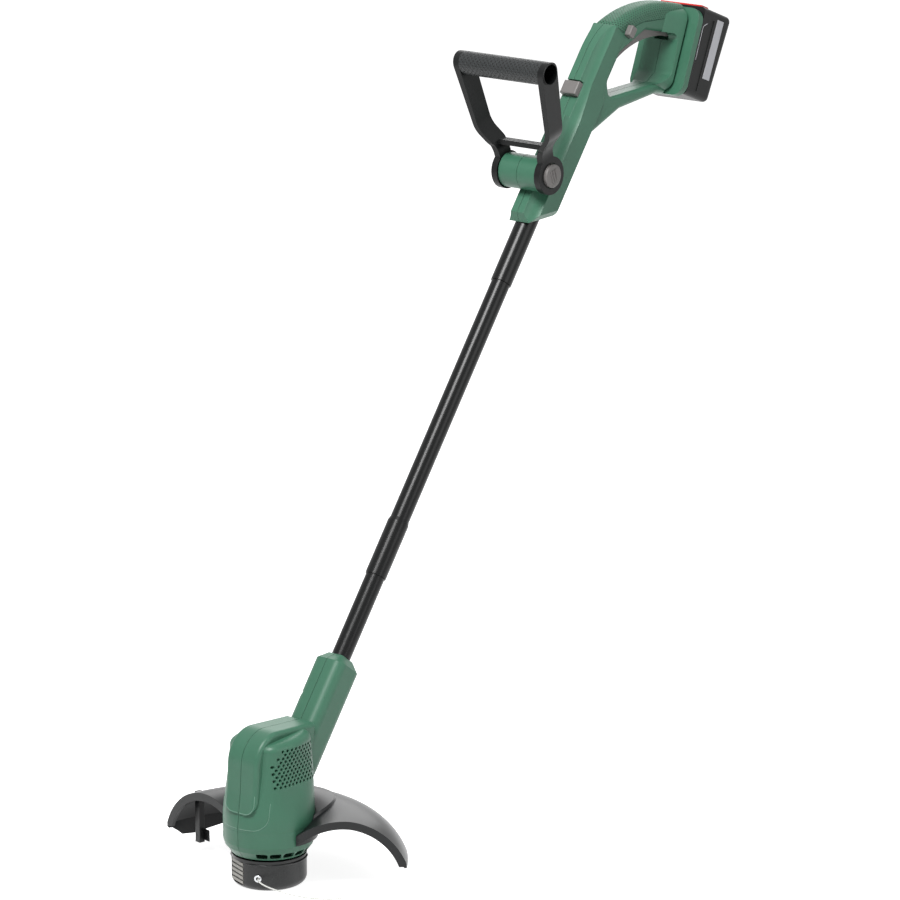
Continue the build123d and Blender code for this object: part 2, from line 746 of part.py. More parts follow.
socket_end = SOCKET_START + SOCKET_LENGTH
swage_end = socket_end + SWAGE_LENGTH
save(
    turned_tube([
        (SOCKET_R, SOCKET_START), (SOCKET_R + TUBE_WALL, SOCKET_START),
        (SOCKET_R + TUBE_WALL, socket_end), (TUBE_R, swage_end),
        (TUBE_R, MIDDLE_TUBE_END), (TUBE_R - TUBE_WALL, MIDDLE_TUBE_END),
        (TUBE_R - TUBE_WALL, swage_end), (SOCKET_R, socket_end),
    ]),
    "middle_tube",
)
UPPER_TUBE_END = HOUSING_START + UPPER_TUBE_SEAT
UPPER_TUBE_R = SOCKET_R + TUBE_WALL
save(plain_tube(SOCKET_R, UPPER_TUBE_R, UPPER_TUBE_START, UPPER_TUBE_END), "upper_tube")

# Handle housing
PACK_AT = (115.8, 285.5)  # middle of the battery's seat, beside and along the shaft axis
PACK_SWING = LEAN - PACK_TILT  # the battery stands nearer upright than the shaft
SIN_P = math.sin(math.radians(PACK_SWING))
COS_P = math.cos(math.radians(PACK_SWING))
PACK_UP = UP_SHAFT * COS_P - BACK * SIN_P
PACK_BACK = BACK * COS_P + UP_SHAFT * SIN_P
PACK_SEAT = HOUSE_FOOT + BACK * PACK_AT[0] + UP_SHAFT * PACK_AT[1]

SPINE_TOP = 258.0
SPINE_CHAMFER = 4.5
TAPER = (122.0, 180.0)  # where the spine narrows to the loop's width
FACET_HALF = 9.0  # half width of the spine's front facet
FACET_DEPTH = 15.0
HOLLOW_MIDDLE = (-14.4, 13.2)  # middle of the hollow beside the front facet
BASE_FRONT = (-13.0, -1.0)  # the base lies nearly level, so it slopes in the housing's frame
BASE_BACK = (23.0, 28.0)
BASE_BEVEL = 8.0
LOOP_TOP = [(-23.0, 214.0), (-9.0, 263.0), (21.4, 300.0), (54.6, 324.5), (80.7, 337.5), (103.6, 347.0)]
PAD_SEAM = [(-30, 256), (5, 256), (30, 284), (70, 312), (96, 322), (92, 380), (-30, 380)]
LOOP_STEPS = 8
SHOULDER_STEP = 2  # step of the top line where the spine hands over to the loop
LOOP_REAR = [(127.0, 243.0), (105.0, 231.5), (54.5, 183.6), (22.0, 130.0), (-8.0, 130.0)]
OPENING = [(15, 236), (15, 197), (28, 184), (98, 241), (105, 258), (90, 303), (41, 280.5)]
OPENING_ROUND = 8.0
OPENING_EDGE = 4.5  # rounding of the opening's edges
FLARE_START = 44.0
FLARE_HALF = 26.0
FLARE_INSET = 3.0
GROOVE = 3.5  # open line between the flare and the skirt
SKIRT_DEPTH = 10.0
SKIRT_HALF = 39.0
SKIRT_FOOT = -46.0
SKIRT_TOP = 58.0
SKIRT_ROUND = 14.0
SKIRT_EDGE_ROUND = 1.5
RAIL_HALF = 25.0
RAIL_NECK_HALF = 21.0
RAIL_LIP = 3.2  # thickness of the lips that hold the battery's tongue
RAIL_DEPTH = 6.0
RAIL_FOOT = -40.0
SPIGOT_R = YOKE_RING_R - 6.1
SPIGOT_END = 32.7
LOCK_BORE = LOCK_R + GAP
LOCK_WEB = 4.0
PIVOT = (89.5, 303.5)
PIN_R = 2.0
PIN_HALF = 14.0
LOCK_OFF_AT = (13.0, 262.5)
LOCK_OFF_SIZE = (10.0, 13.0)
LOCK_OFF_HALF = 24.0
SLIDER_AT = 167.5
SLIDER_LENGTH = 16.5
SLIDER_HALF = 11.0
SLIDER_TRAVEL = 24.0
CHANNEL_N = -17.0
SLIDER_FACE = -25.0
SWITCH_N = (-12.0, 6.0)
SWITCH_T = (196.0, 222.0)
SWITCH_HALF = 8.0
HOUSING_SCREWS = [(17.0, 42.0), (17.0, 95.0), (32.0, 166.0), (74.0, 211.0), (88.0, 322.0), (-12.0, 231.0)]
HOUSING_SCREW_SEAT = 9.0
HOUSING_SCREW_LENGTH = 20.0
TRIGGER_LOWER = [(20.0, 229.0), (48.5, 270.5), (94.0, 300.0)]
TRIGGER_UPPER = [(93.0, 310.0), (41.0, 281.0), (20.0, 234.0)]
TRIGGER_SLOT = [
    (28, 217), (10, 235), (11, 252), (38, 296), (90, 317), (97.5, 312), (97.5, 298), (90, 293), (58, 260),
]


def seat_plane(depth):
    """A plane across the battery's seat: sketch across and up, facing back."""
    return Plane(origin=PACK_SEAT + PACK_BACK * depth, x_dir=(0, 1, 0), z_dir=PACK_BACK)


def seat_block(across, up, depth):
    """A block on the battery's seat, each way between two bounds."""
    with BuildPart() as block:
        with BuildSketch(seat_plane(depth[0])):
            with Locations(((across[0] + across[1]) / 2, (up[0] + up[1]) / 2)):
                Rectangle(across[1] - across[0], up[1] - up[0])
        extrude(amount=depth[1] - depth[0])
    return block.part


def side_block(back, up, half):
    """A block in the housing's side view, to the same distance either side of the middle."""
    with BuildPart() as block:
        with BuildSketch(HOUSE_SIDE):
            with Locations(((back[0] + back[1]) / 2, (up[0] + up[1]) / 2)):
                Rectangle(back[1] - back[0], up[1] - up[0])
        extrude(amount=half, both=True)
    return block.part


def side_rod(place, radius, half):
    """A rod across the housing."""
    with BuildPart() as rod:
        with BuildSketch(HOUSE_SIDE):
            with Locations(place):
                Circle(radius)
        extrude(amount=half, both=True)
    return rod.part


loop_top = Spline(LOOP_TOP, tangents=[(0, 1), (0.92, 0.38)])


def loop_curve(inset):
    """Points of the loop's top line, moved inwards."""
    points = []
    for step in range(LOOP_STEPS + 1):
        at = loop_top.position_at(step / LOOP_STEPS)
        along = loop_top.tangent_at(step / LOOP_STEPS)
        points.append((at.X + along.Y * inset, at.Y - along.X * inset))
    return points


def spine():
    """The straight body: its section along the shaft, cut to its side, front and base views."""
    with BuildPart() as body:
        with BuildSketch(HOUSE.offset(-SPINE_HALF)):
            with BuildLine():
                Polyline((-SPINE_FRONT, 0), (-SPINE_FRONT, FACET_HALF))
                hollow = (FACET_DEPTH - SPINE_FRONT, SPINE_HALF)
                ThreePointArc((-SPINE_FRONT, FACET_HALF), HOLLOW_MIDDLE, hollow)
                Polyline(
                    hollow, (SPINE_BACK - SPINE_CHAMFER, SPINE_HALF),
                    (SPINE_BACK, SPINE_HALF - SPINE_CHAMFER), (SPINE_BACK, 0),
                )
                mirror(about=Plane.XZ)
            make_face()
        extrude(amount=SPINE_TOP + 2 * SPINE_HALF)
        with BuildSketch(HOUSE_SIDE.offset(-2 * SPINE_HALF)):
            with BuildLine():
                shoulder = ThreePointArc(*loop_curve(0)[: SHOULDER_STEP + 1])
                Polyline(
                    shoulder @ 1, (9, SPINE_TOP), (9, 200), (BASE_BACK[0], 165), BASE_BACK, BASE_FRONT,
                    (-SPINE_FRONT - 1, BASE_FRONT[1] + BASE_BEVEL), (-SPINE_FRONT - 1, 190), shoulder @ 0,
                )
            make_face()
        extrude(amount=4 * SPINE_HALF, mode=Mode.INTERSECT)
        with BuildSketch(Plane(origin=HOUSE_FOOT - BACK * 40, x_dir=(0, 1, 0), z_dir=BACK)):
            with BuildLine():
                Polyline(
                    (-SPINE_HALF - 1, -40), (-SPINE_HALF - 1, TAPER[0]), (-LOOP_HALF - GAP, TAPER[1]),
                    (-LOOP_HALF - GAP, SPINE_TOP + 10), (LOOP_HALF + GAP, SPINE_TOP + 10),
                    (LOOP_HALF + GAP, TAPER[1]), (SPINE_HALF + 1, TAPER[0]), (SPINE_HALF + 1, -40),
                    close=True,
                )
            make_face()
        extrude(amount=80, mode=Mode.INTERSECT)
        base_from = HOUSE_FOOT + BACK * BASE_FRONT[0] + UP_SHAFT * BASE_FRONT[1]
        base_to = HOUSE_FOOT + BACK * BASE_BACK[0] + UP_SHAFT * BASE_BACK[1]
        base = Plane(origin=base_from, x_dir=(0, 1, 0), z_dir=base_to - base_from)
        with BuildSketch(base.offset(-100)):
            with BuildLine():
                Polyline(
                    (BASE_BEVEL - SPINE_HALF, -1), (-SPINE_HALF - 1, BASE_BEVEL), (-SPINE_HALF - 1, 400),
                    (SPINE_HALF + 1, 400), (SPINE_HALF + 1, BASE_BEVEL), (SPINE_HALF - BASE_BEVEL, -1),
                    close=True,
                )
            make_face()
        extrude(amount=400, mode=Mode.INTERSECT)
    return body.part


def side_prism(outline, half, room=0.0, rounding=0.0):
    """An outline of the housing's side view, given thickness either side of the middle."""
    with BuildPart() as prism:
        with BuildSketch(HOUSE_SIDE) as view:
            with BuildLine():
                Polyline(*outline, close=True)
            make_face()
            if rounding:
                fillet(view.vertices(), rounding)
            if room:
                offset(amount=room)
        extrude(amount=half, both=True)
    return prism.part


def outer_edges(loop, below, above):
    """Edges round the outside of the loop's two sides, but for its back end, between two heights."""
    edges = [edge for face in loop.faces().filter_by(Axis.Y) for edge in face.outer_wire().edges()]
    chosen = []
    for edge in edges:
        from_seat = (edge.center() - PACK_SEAT).dot(PACK_BACK)
        up = HOUSE.to_local_coords(edge.center()).Z
        if from_seat < -SKIRT_DEPTH - 3 and below < up < above:
            chosen.append(edge)
    return chosen


def loop_body(inset):
    with BuildPart() as loop:
        with BuildSketch(HOUSE_SIDE):
            with BuildLine():
                top = Spline(loop_curve(inset)[SHOULDER_STEP:])
                Polyline(top @ 1, *LOOP_REAR, top @ 0)
            make_face()
        extrude(amount=LOOP_HALF - inset, both=True)
        split(bisect_by=seat_plane(-SKIRT_DEPTH - 2), keep=Keep.BOTTOM)
        add(side_prism(OPENING, LOOP_HALF + 5, rounding=OPENING_ROUND), mode=Mode.SUBTRACT)
        rims = [face.inner_wires()[0].edges() for face in loop.faces().filter_by(Axis.Y)]
        fillet([edge for rim in rims for edge in rim], OPENING_EDGE)
        fillet(outer_edges(loop, 300, 400), LOOP_ROUND - inset)
        fillet(outer_edges(loop, 140, 300), LOOP_FOOT_ROUND)
    return loop.part


def seat_slab(half, up, depth, rounding):
    """A slab with rounded corners on the battery's seat."""
    with BuildPart() as slab:
        with BuildSketch(seat_plane(depth[0])):
            with Locations((0, (up[0] + up[1]) / 2)):
                RectangleRounded(2 * half, up[1] - up[0], rounding)
        extrude(amount=depth[1] - depth[0])
    return slab.part


def battery_foot():
    """The loop flares towards the battery, and a groove parts the flare from the skirt."""
    skirt_front = -SKIRT_DEPTH
    flare_back = skirt_front - GROOVE
    middle = (SKIRT_FOOT + SKIRT_TOP) / 2
    height = SKIRT_TOP - SKIRT_FOOT
    with BuildPart() as foot:
        with BuildSketch(seat_plane(-FLARE_START)):
            with Locations((0, middle - FLARE_INSET)):
                RectangleRounded(2 * (LOOP_HALF + GAP), height - 4 * FLARE_INSET, LOOP_ROUND)
        with BuildSketch(seat_plane(flare_back)):
            with Locations((0, middle)):
                RectangleRounded(2 * FLARE_HALF, height - 2 * FLARE_INSET, SKIRT_ROUND)
        loft()
        up = (SKIRT_FOOT + 2 * FLARE_INSET, SKIRT_TOP - 2 * FLARE_INSET)
        rounding = SKIRT_ROUND - FLARE_INSET
        add(seat_slab(FLARE_HALF - FLARE_INSET, up, (flare_back, skirt_front), rounding))
        add(seat_slab(SKIRT_HALF, (SKIRT_FOOT, SKIRT_TOP), (skirt_front, -GAP), SKIRT_ROUND))
        fillet(foot.faces().sort_by(Axis(PACK_SEAT, PACK_BACK))[-1].edges(), SKIRT_EDGE_ROUND)
    return foot.part


def rail_pocket():
    with BuildPart() as pocket:
        add(seat_block((-RAIL_HALF - GAP, RAIL_HALF + GAP), (RAIL_FOOT, 90), (-RAIL_DEPTH - GAP, -RAIL_LIP)))
        add(seat_block((-RAIL_NECK_HALF - GAP, RAIL_NECK_HALF + GAP), (RAIL_FOOT, 90), (-RAIL_LIP, 1)))
    return pocket.part


BARREL_AT = (BARREL_N, BARREL_T)
loop_skin = loop_body(0)
loop_core = loop_body(PAD_T)

with BuildPart() as housing:
    add(spine())
    add(loop_skin)
    add(side_prism(PAD_SEAM, LOOP_HALF + 5), mode=Mode.SUBTRACT)
    add(loop_core)
    add(battery_foot())
    add(side_rod(BARREL_AT, BARREL_R, BARREL_HALF))
    add(side_rod(BARREL_AT, SPIGOT_R, SPIGOT_END))
    add(side_block((BARREL_N, -FACET_DEPTH), (BARREL_T - 14, BARREL_T + 14), 14))
    add(side_prism(OPENING, 60, rounding=OPENING_ROUND), mode=Mode.SUBTRACT)
    add(side_prism(TRIGGER_SLOT, TRIGGER_HALF + GAP), mode=Mode.SUBTRACT)
    add(rail_pocket(), mode=Mode.SUBTRACT)
    for side in (-1, 1):
        with BuildSketch(HOUSE_SIDE.offset(side * LOCK_WEB)):
            with Locations(BARREL_AT):
                Circle(LOCK_BORE)
        extrude(amount=side * BARREL_HALF * 2, mode=Mode.SUBTRACT)
    with BuildSketch(HOUSE.offset(-SPINE_HALF)):
        Circle(UPPER_TUBE_R + FIT)
    extrude(amount=SPINE_HALF + UPPER_TUBE_SEAT, mode=Mode.SUBTRACT)
    add(side_block((-13, 13), (UPPER_TUBE_SEAT + WALL, SWITCH_T[0] - WALL), 13), mode=Mode.SUBTRACT)
    add(side_block(SWITCH_N, SWITCH_T, SWITCH_HALF + FIT), mode=Mode.SUBTRACT)
    add(side_rod(PIVOT, PIN_R + FIT, PIN_HALF), mode=Mode.SUBTRACT)
    add(side_block(
        (-60, CHANNEL_N),
        (SLIDER_AT - SLIDER_LENGTH / 2 - SLIDER_TRAVEL - 2, SLIDER_AT + SLIDER_LENGTH / 2 + 2),
        SLIDER_HALF + GAP,
    ), mode=Mode.SUBTRACT)
    with BuildSketch(HOUSE_SIDE):
        with Locations(LOCK_OFF_AT):
            Rectangle(LOCK_OFF_SIZE[0] + 2 * GAP, LOCK_OFF_SIZE[1] + 2 * GAP)
    extrude(amount=60, both=True, mode=Mode.SUBTRACT)


def beside_shaft(back, up):
    """A point of the middle plane from its place in the housing's frame."""
    return on_shaft(back, HOUSING_START + up)


housing_screw_places = [beside_shaft(n, t) for n, t in HOUSING_SCREWS]
housing_holes = screw_holes(housing_screw_places, HOUSING_SCREW_SEAT, HOUSING_SCREW_LENGTH)


def housing_half(side):
    with BuildPart() as half:
        add(housing.part)
        keep = Keep.TOP if side < 0 else Keep.BOTTOM
        split(bisect_by=Plane.XZ.offset(-side * SEAM / 2), keep=keep)
        add(housing_holes, mode=Mode.SUBTRACT)
    return half.part


save(housing_half(-1), "handle_shell_left")
save(housing_half(1), "handle_shell_right")
save(screws(housing_screw_places, HOUSING_SCREW_SEAT, HOUSING_SCREW_LENGTH), "handle_screws")

with BuildPart() as grip_pad:
    add(loop_skin)
    add(side_prism(PAD_SEAM, LOOP_HALF + 5, room=-SEAM), mode=Mode.INTERSECT)
    add(loop_core, mode=Mode.SUBTRACT)
    add(battery_foot(), mode=Mode.SUBTRACT)
    with BuildSketch(HOUSE_SIDE):
        with Locations(LOCK_OFF_AT):
            Rectangle(LOCK_OFF_SIZE[0] + 2 * GAP, LOCK_OFF_SIZE[1] + 2 * GAP)
    extrude(amount=60, both=True, mode=Mode.SUBTRACT)
save(grip_pad.part, "grip_pad")

# Controls of the housing
with BuildPart() as trigger:
    with BuildSketch(HOUSE_SIDE):
        with BuildLine():
            lower = ThreePointArc(*TRIGGER_LOWER)
            upper = ThreePointArc(*TRIGGER_UPPER)
            Line(lower @ 1, upper @ 0)
            Line(upper @ 1, lower @ 0)
        make_face()
        with Locations(PIVOT):
            Circle(PIN_R + RUN, mode=Mode.SUBTRACT)
    extrude(amount=TRIGGER_HALF, both=True)
save(trigger.part, "trigger")

save(side_rod(PIVOT, PIN_R, PIN_HALF), "trigger_pin")

with BuildPart() as lock_off:
    with BuildSketch(HOUSE_SIDE):
        with Locations(LOCK_OFF_AT):
            RectangleRounded(*LOCK_OFF_SIZE, 1.5)
    extrude(amount=LOCK_OFF_HALF, both=True)
    fillet(lock_off.faces().filter_by(Axis.Y).edges(), 1.0)
save(lock_off.part, "lock_off_button")

with BuildPart() as slider:
    with BuildSketch(HOUSE_SIDE):
        with Locations(((CHANNEL_N - GAP + SLIDER_FACE) / 2, SLIDER_AT)):
            Rectangle(CHANNEL_N - GAP - SLIDER_FACE, SLIDER_LENGTH)
    extrude(amount=SLIDER_HALF, both=True)
    fillet(slider.faces().sort_by(Axis(HOUSE_FOOT, BACK))[0].edges(), 1.5)
save(slider.part, "spine_slider")

save(side_block(SWITCH_N, SWITCH_T, SWITCH_HALF), "switch")

# Front handle, sketched across and up its own plane, which tilts about the barrel
BARREL = HOUSE_FOOT + BACK * BARREL_N + UP_SHAFT * BARREL_T
SIN_H = math.sin(math.radians(HANDLE_TILT))
COS_H = math.cos(math.radians(HANDLE_TILT))
HANDLE_BACK = Vector(COS_H, 0, SIN_H)
YOKE_FACE = Plane(origin=BARREL, x_dir=(0, 1, 0), z_dir=HANDLE_BACK)
YOKE_SIDE = Plane(origin=BARREL, x_dir=HANDLE_BACK, z_dir=(0, -1, 0))
RING_IN = 27.0
RING_OUT = 35.0
ARM_INNER = [(RING_IN, 0.0), (RING_IN, 31.0), (48.5, 53.5), (58.5, HANDLE_REACH + 20)]
ARM_OUTER = [(65.5 + 1.5, HANDLE_REACH + 20), (54.5, 52.0), (RING_OUT, 31.5), (RING_OUT, 0.0)]
ARM_BEND = 25.0
ARM_HALF_LOW = 12.0
ARM_LOW = 40.0
RING_BORE = SPIGOT_R + RUN
RING_LIP = 33.0
LIP_BORE = LOCK_R + 1.0
BUTTON_OUT = 38.5
BUTTON_IN = 20.0
BUTTON_RIDGES = 3
BRACE_AT = (3.66, 33.8)
BRACE_SIZE = (16.0, 5.0)
BRACE_TILT = -17.0
BRACE_RIDGES = 4
SLEEVE_CORE_R = 12.3
SLEEVE_HALF = 60.0


def yoke_arms():
    with BuildPart() as arms:
        with BuildSketch(YOKE_FACE):
            with BuildLine():
                inner = FilletPolyline(*ARM_INNER, radius=ARM_BEND)
                outer = FilletPolyline(*ARM_OUTER, radius=ARM_BEND)
                Line(inner @ 1, outer @ 0)
                Line(outer @ 1, inner @ 0)
            make_face()
            mirror(about=Plane.YZ)
        extrude(amount=YOKE_RING_R, both=True)
        with BuildSketch(YOKE_SIDE):
            with Locations((0, HANDLE_REACH)):
                Circle(GRIP_D / 2)
            with Locations((0, ARM_LOW)):
                Circle(ARM_HALF_LOW)
            make_hull()
            Circle(YOKE_RING_R)
            with Locations((0, ARM_LOW / 2)):
                Rectangle(2 * ARM_HALF_LOW - 4, ARM_LOW)
        extrude(amount=100, both=True, mode=Mode.INTERSECT)
    return arms.part


def yoke_rod(place, radius, half):
    with BuildPart() as rod:
        with BuildSketch(YOKE_SIDE):
            with Locations(place):
                Circle(radius)
        extrude(amount=half, both=True)
    return rod.part


def yoke_disc(radius, start, end):
    """A pair of discs on the barrel axis, one each side."""
    with BuildPart() as discs:
        for side in (-1, 1):
            with BuildSketch(YOKE_SIDE.offset(side * start)):
                Circle(radius)
            extrude(amount=side * (end - start))
    return discs.part


with BuildPart() as yoke:
    add(yoke_arms())
    add(yoke_disc(YOKE_RING_R, RING_IN, RING_OUT))
    with BuildSketch(YOKE_SIDE):
        with Locations(Location((BRACE_AT[0], BRACE_AT[1], 0), (0, 0, BRACE_TILT))):
            Rectangle(*BRACE_SIZE)
            with GridLocations(BRACE_SIZE[0] / BRACE_RIDGES, 0, BRACE_RIDGES, 1):
                with Locations((0, BRACE_SIZE[1] / 2)):
                    Rectangle(BRACE_SIZE[0] / BRACE_RIDGES / 2, 1.2)
    extrude(amount=RING_IN + 4, both=True)
    add(yoke_rod((0, HANDLE_REACH), SLEEVE_CORE_R, SLEEVE_HALF + 5))
    add(yoke_rod((0, HANDLE_REACH), GRIP_BORE / 2, 100), mode=Mode.SUBTRACT)
    add(yoke_disc(RING_BORE, RING_IN - 1, RING_LIP), mode=Mode.SUBTRACT)
    add(yoke_disc(LIP_BORE, RING_LIP, RING_OUT + 1), mode=Mode.SUBTRACT)
    add(yoke_disc(BARREL_R + GAP, 0, RING_IN - 0.01), mode=Mode.SUBTRACT)
save(yoke.part, "front_handle_yoke")

with BuildPart() as grip_sleeve:
    add(yoke_rod((0, HANDLE_REACH), GRIP_D / 2, SLEEVE_HALF))
    add(yoke_rod((0, HANDLE_REACH), SLEEVE_CORE_R + FIT, SLEEVE_HALF), mode=Mode.SUBTRACT)
    add(yoke_arms(), mode=Mode.SUBTRACT)
save(grip_sleeve.part, "front_grip_sleeve")


def lock_button(side):
    with BuildPart() as button:
        with BuildSketch(YOKE_SIDE.offset(-side * BUTTON_IN)):
            Circle(LOCK_R)
        extrude(amount=-side * (BUTTON_OUT - BUTTON_IN))
        fillet(button.faces().sort_by(Axis.Y)[-1 if side > 0 else 0].edges(), 1.5)
        with BuildSketch(YOKE_SIDE.offset(-side * BUTTON_OUT)):
            with GridLocations(4, 0, BUTTON_RIDGES, 1):
                Rectangle(1.4, 14)
        extrude(amount=-side * 0.8)
    return button.part


save(lock_button(-1), "lock_button_left")
save(lock_button(1), "lock_button_right")

# Battery pack on its seat
LID_T = 20.0
LID_FOOT = -42.0
PACK_TOP = 62.5
TONGUE_FOOT = -33.5
CASE_ROUND = 8.0
CASE_FOOT_DEPTH = 48.0  # the case is shallower at its foot
CELL_ROOM = 40.5
INLAY_T = 1.0
INLAY = [(27.6, 54.0), (40.0, 54.0), (37.6, -17.0), (24.1, -17.0)]  # back and up on the pack's side
PANEL = [(3.0, -34.0), (3.0, 40.0), (18.0, 51.0), (22.0, 51.0), (19.0, -34.0)]
PANEL_T = 0.8
RELEASE_DEPTH = (2.0, 15.0)
RELEASE_HALF = 30.0
RELEASE_H = 9.0
RELEASE_PROUD = 2.0
CELL_R = 9.1
CELL_HALF = 32.5
CELLS = 5
CELL_DEPTH = 30.5
BLADES = (-12.0, 0.0, 12.0)
TERMINAL_UP = (-40.0, -35.0)
TERMINAL_T = 0.8
TERMINAL_ROOM = 0.4
TERMINAL_REACH = 9.0


PACK_SIDE = Plane(origin=PACK_SEAT, x_dir=PACK_BACK, z_dir=(0, -1, 0))


def pack_prism(outline, start, end):
    """An outline of the pack's side view, between two distances left of the middle."""
    with BuildPart() as prism:
        with BuildSketch(PACK_SIDE.offset(start)):
            with BuildLine():
                Polyline(*outline, close=True)
            make_face()
        extrude(amount=end - start)
    return prism.part


def both_sides(outline, inner, outer):
    """The same outline between two distances on both sides of the pack."""
    with BuildPart() as pair:
        add(pack_prism(outline, inner, outer))
        add(pack_prism(outline, -outer, -inner))
    return pair.part


side_panels = both_sides(PANEL, PACK_W / 2 - PANEL_T, PACK_W / 2 + 1)

with BuildPart() as pack_lid:
    add(seat_slab(PACK_W / 2, (LID_FOOT, PACK_TOP), (0, LID_T), 6))
    add(seat_block((-RAIL_HALF, RAIL_HALF), (TONGUE_FOOT, PACK_TOP - 10), (-RAIL_DEPTH, -RAIL_LIP - GAP)))
    add(seat_block((-RAIL_NECK_HALF, RAIL_NECK_HALF), (TONGUE_FOOT, PACK_TOP - 10), (-RAIL_LIP - GAP, 0)))
    add(seat_block((-34, 34), (LID_FOOT + 4, PACK_TOP - 12), (4, LID_T)), mode=Mode.SUBTRACT)
    add(seat_block(
        (-RELEASE_HALF - GAP, RELEASE_HALF + GAP), (PACK_TOP - RELEASE_H - 3, PACK_TOP + 1),
        (RELEASE_DEPTH[0] - GAP, RELEASE_DEPTH[1] + GAP),
    ), mode=Mode.SUBTRACT)
    for y in BLADES:
        across = (y - TERMINAL_T / 2 - TERMINAL_ROOM, y + TERMINAL_T / 2 + TERMINAL_ROOM)
        up = (TONGUE_FOOT - 1, TERMINAL_UP[1] + TERMINAL_REACH + 4)
        add(seat_block(across, up, (-RAIL_DEPTH - 1, -0.8)), mode=Mode.SUBTRACT)
    add(side_panels, mode=Mode.SUBTRACT)
save(pack_lid.part, "battery_lid")

case_view = [(0, LID_FOOT), (CASE_FOOT_DEPTH, LID_FOOT), (PACK_DEPTH, PACK_TOP), (0, PACK_TOP)]

with BuildPart() as pack_case:
    add(seat_slab(PACK_W / 2, (LID_FOOT, PACK_TOP), (LID_T, PACK_DEPTH + 1), 6))
    add(pack_prism(case_view, -PACK_W, PACK_W), mode=Mode.INTERSECT)
    fillet(pack_case.faces().sort_by(Axis(PACK_SEAT, PACK_BACK))[-1].edges(), CASE_ROUND)
    add(seat_block(
        (-CELL_HALF - FIT, CELL_HALF + FIT), (LID_FOOT + 4, PACK_TOP - 4), (LID_T, CELL_ROOM),
    ), mode=Mode.SUBTRACT)
    add(side_panels, mode=Mode.SUBTRACT)
    add(both_sides(INLAY, PACK_W / 2 - INLAY_T, PACK_W / 2 + 1), mode=Mode.SUBTRACT)
save(pack_case.part, "battery_case")

save(both_sides(INLAY, PACK_W / 2 - INLAY_T, PACK_W / 2 + 0.2), "battery_inlays")

with BuildPart() as release:
    top = PACK_TOP + RELEASE_PROUD
    add(seat_block((-RELEASE_HALF, RELEASE_HALF), (top - RELEASE_H, top), RELEASE_DEPTH))
save(release.part, "battery_release_button")

with BuildPart() as cells:
    for cell in range(CELLS):
        up = (LID_FOOT + PACK_TOP) / 2 + (cell - (CELLS - 1) / 2) * (2 * CELL_R + 0.4)
        centre = PACK_SEAT + PACK_BACK * CELL_DEPTH + PACK_UP * up
        with BuildSketch(Plane(origin=centre, x_dir=PACK_BACK, z_dir=(0, 1, 0))):
            Circle(CELL_R)
        extrude(amount=CELL_HALF, both=True)
save(cells.part, "battery_cells")

save(seat_block((-20, 20), TERMINAL_UP, (-RAIL_DEPTH - GAP, -GAP)), "terminal_block")

with BuildPart() as terminals:
    for y in BLADES:
        across = (y - TERMINAL_T / 2, y + TERMINAL_T / 2)
        add(seat_block(across, (TERMINAL_UP[1], TERMINAL_UP[1] + TERMINAL_REACH), (-5, -1.5)))
save(terminals.part, "terminal_blades")
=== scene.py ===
import math

import bpy
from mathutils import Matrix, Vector
from mathutils.bvhtree import BVHTree


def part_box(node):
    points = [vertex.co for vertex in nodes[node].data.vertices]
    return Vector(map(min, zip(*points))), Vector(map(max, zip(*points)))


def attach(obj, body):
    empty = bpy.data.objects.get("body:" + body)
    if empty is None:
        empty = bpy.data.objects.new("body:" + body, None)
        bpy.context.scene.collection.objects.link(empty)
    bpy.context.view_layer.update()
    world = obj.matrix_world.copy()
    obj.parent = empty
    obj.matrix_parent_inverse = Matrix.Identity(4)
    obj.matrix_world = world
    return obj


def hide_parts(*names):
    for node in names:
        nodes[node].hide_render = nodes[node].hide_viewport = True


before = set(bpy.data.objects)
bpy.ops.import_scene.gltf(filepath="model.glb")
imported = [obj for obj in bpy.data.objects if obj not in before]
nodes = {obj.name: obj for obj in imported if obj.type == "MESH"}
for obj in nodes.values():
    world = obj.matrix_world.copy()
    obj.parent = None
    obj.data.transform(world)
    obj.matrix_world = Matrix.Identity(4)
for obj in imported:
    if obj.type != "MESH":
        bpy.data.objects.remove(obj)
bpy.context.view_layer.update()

scene = bpy.context.scene

# Camera at the photograph's viewing angle
VIEW_FROM = Vector((-3.872637, -3.508861, 1.790054))
VIEW_TURN = math.radians(-50.0)
VIEW_RISE = math.radians(14.0)

camera_data = bpy.data.cameras.new("camera")
camera_data.sensor_width = 36.0
camera_data.lens = 200.0
camera_data.clip_end = 50.0
camera = bpy.data.objects.new("camera", camera_data)
scene.collection.objects.link(camera)
camera.location = VIEW_FROM
camera.rotation_euler = (math.pi / 2 - VIEW_RISE, 0.0, VIEW_TURN)
scene.camera = camera


# Small helpers
def linear(hex_colour):
    """An sRGB hex value as linear RGBA."""
    parts = [int(hex_colour[i:i + 2], 16) / 255 for i in (1, 3, 5)]
    return (*[p / 12.92 if p <= 0.04045 else ((p + 0.055) / 1.055) ** 2.4 for p in parts], 1.0)


def mm(value):
    return value / 1000


def add_node(tree, kind, inputs=None, **settings):
    """Adds a node with its settings, its input values and its links."""
    made = tree.nodes.new(kind)
    for name, value in settings.items():
        setattr(made, name, value)
    for name, value in (inputs or {}).items():
        if isinstance(value, bpy.types.NodeSocket):
            tree.links.new(value, made.inputs[name])
        else:
            made.inputs[name].default_value = value
    return made


def new_material(name):
    material = bpy.data.materials.new(name)
    material.use_nodes = True
    material.node_tree.nodes.clear()
    return material, material.node_tree


def wear(piece, material):
    piece.data.materials.clear()
    piece.data.materials.append(material)


